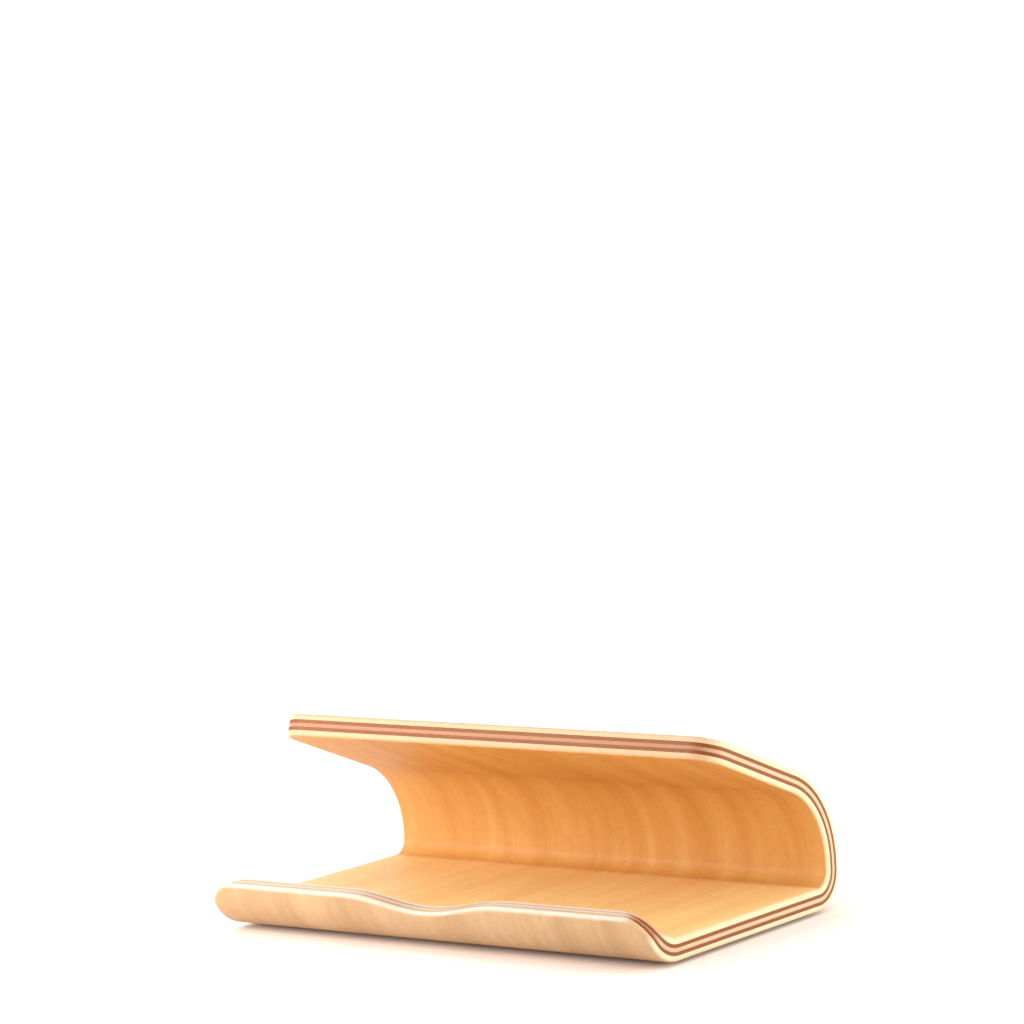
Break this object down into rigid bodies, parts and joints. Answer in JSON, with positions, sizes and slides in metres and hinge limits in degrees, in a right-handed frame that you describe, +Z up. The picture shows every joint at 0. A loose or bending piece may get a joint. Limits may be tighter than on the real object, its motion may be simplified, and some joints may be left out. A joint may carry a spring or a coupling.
{
  "type": "tablet stand",
  "caption": "Low tablet stand pressed from one curled sheet of plywood: a notched front lip holds the tablet's edge, and the end of the rolled-over back supports it.",
  "frame": {"origin": "middle of the stand on the plane of the feet's undersides, the surface that it stands on", "axes": "+Z up, +X to the right along the stand's width, and the lip faces -Y"},
  "size_m": [0.148, 0.0968, 0.0575],
  "materials": {
    "face_veneer": "satin",
    "inner_veneer": "satin",
    "cross_veneer": "satin",
    "core_veneer": "satin",
    "foot": "matte"
  },
  "bodies": {
    "root": {"outer_face_veneer": "face_veneer", "outer_cross_veneer": "cross_veneer", "core_veneer": "core_veneer", "inner_cross_veneer": "cross_veneer", "inner_face_veneer": "inner_veneer", "foot_front_left": "foot", "foot_front_right": "foot", "foot_rear_left": "foot", "foot_rear_right": "foot"}
  },
  "joints": []
}
